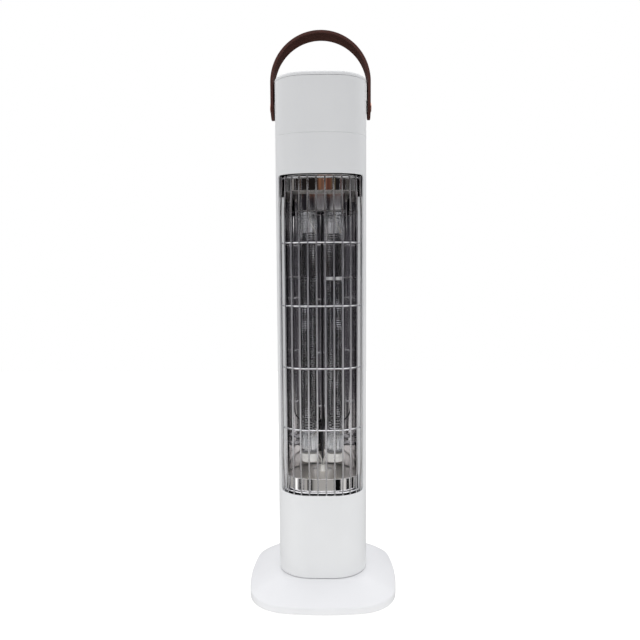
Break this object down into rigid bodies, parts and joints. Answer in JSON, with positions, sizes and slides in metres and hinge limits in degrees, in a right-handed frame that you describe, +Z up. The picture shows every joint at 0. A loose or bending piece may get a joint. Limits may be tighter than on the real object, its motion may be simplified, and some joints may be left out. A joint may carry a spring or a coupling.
{
  "type": "carbon heater",
  "caption": "Free-standing carbon heater: white rounded-square column with wire guard and lamps, swinging on a wide low base, with a leather strap handle.",
  "frame": {"origin": "on the floor under the middle of the base, at the underside of the rubber feet", "axes": "+Z up along the column, -Y is the front, where the wire guard is, and +X is to the right of a person facing the heater"},
  "size_m": [0.1846, 0.1845, 0.6841],
  "materials": {
    "white_plastic": "satin moulded, fine texture",
    "white_painted_steel": "satin powder coat",
    "button_plastic": "satin",
    "black_plastic": "matt",
    "dark_plastic": "matt, glass filled",
    "cast_ballast": "raw",
    "rubber": "matt",
    "steel": "zinc plated",
    "acetal": "smooth",
    "red_plastic": "smooth",
    "polished_reflector": "mirror polished",
    "chrome_wire": "bright",
    "quartz": "clear fused quartz",
    "carbon": "woven carbon spiral",
    "ceramic": "unglazed steatite",
    "wire_sleeve": "silicone sleeve",
    "circuit_board": "solder mask",
    "copper_screw": "satin copper tone",
    "leather": "smooth grained, dark edge",
    "lens": "frosted"
  },
  "bodies": {
    "base": {"base_cover": "white_plastic", "base_plate": "black_plastic", "ballast_plate": "cast_ballast", "rubber_feet": "rubber", "base_screws": "steel", "cable_grommet": "rubber", "terminal_block": "acetal", "base_wires": "wire_sleeve", "tip_switch": "black_plastic", "tip_bracket": "steel", "tip_spring": "steel", "swivel_bush": "acetal", "swing_motor": "steel", "motor_screws": "steel", "slide_washer": "acetal"},
    "tip_plunger": {"tip_plunger": "red_plastic"},
    "pinion": {"swing_pinion": "acetal"},
    "column": {"turntable": "dark_plastic", "hub_gear": "acetal", "hub_retainer": "steel", "hub_screws": "steel", "column_front_shell": "white_painted_steel", "column_rear_shell": "white_painted_steel", "rear_screws": "steel", "lower_end_cap": "polished_reflector", "upper_end_cap": "polished_reflector", "reflector": "polished_reflector", "heat_shield": "steel", "guard_bars": "chrome_wire", "guard_rings": "chrome_wire", "quartz_tube_left": "quartz", "quartz_tube_right": "quartz", "filament_left": "carbon", "filament_right": "carbon", "lower_ceramics": "ceramic", "upper_ceramics": "ceramic", "lower_bracket": "steel", "upper_bracket": "steel", "tube_clip": "chrome_wire", "lead_bushing": "ceramic", "heater_leads": "wire_sleeve", "thermal_cutout": "black_plastic", "wire_loom": "wire_sleeve", "power_board": "circuit_board", "upper_deck": "steel", "head_shell": "white_plastic", "handle_bracket": "steel", "handle_screws": "copper_screw", "handle_nuts": "steel", "handle_spacers": "acetal", "top_lid": "white_plastic", "control_fascia": "black_plastic", "indicator_lens": "lens", "control_board": "circuit_board", "tact_switches": "black_plastic", "board_screws": "steel"},
    "handle": {"handle_strap": "leather"},
    "button_heat": {"button_heat": "button_plastic"},
    "button_swing": {"button_swing": "button_plastic"},
    "button_timer": {"button_timer": "button_plastic"}
  },
  "joints": [
    {"name": "column_swing", "type": "hinge", "parent": "base", "child": "column", "pos_m": [0, 0, 0.027], "axis": [0, 0, 1], "range_deg": [-35, 35]},
    {"name": "pinion_spin", "type": "hinge", "parent": "base", "child": "pinion", "pos_m": [0.034, 0, 0.017], "axis": [0, 0, 1], "range_deg": [-116, 116]},
    {"name": "tip_plunger_slide", "type": "slide", "parent": "base", "child": "tip_plunger", "axis": [0, 0, -1], "range_m": [0, 0.003], "stiffness_N_per_m": 120, "springref_m": 0.005, "deforming": ["tip_spring"]},
    {"name": "handle_swing", "type": "hinge", "parent": "column", "child": "handle", "pos_m": [0, 0, 0.597], "axis": [1, 0, 0], "range_deg": [-120, 120]},
    {"name": "button_heat_press", "type": "slide", "parent": "column", "child": "button_heat", "axis": [0, 0, -1], "range_m": [0, 0.001], "stiffness_N_per_m": 1000},
    {"name": "button_swing_press", "type": "slide", "parent": "column", "child": "button_swing", "axis": [0, 0, -1], "range_m": [0, 0.001], "stiffness_N_per_m": 1000},
    {"name": "button_timer_press", "type": "slide", "parent": "column", "child": "button_timer", "axis": [0, 0, -1], "range_m": [0, 0.001], "stiffness_N_per_m": 1000}
  ],
  "couplings": [
    {"joint": "pinion_spin", "follows": "column_swing", "ratio": -3.25}
  ]
}
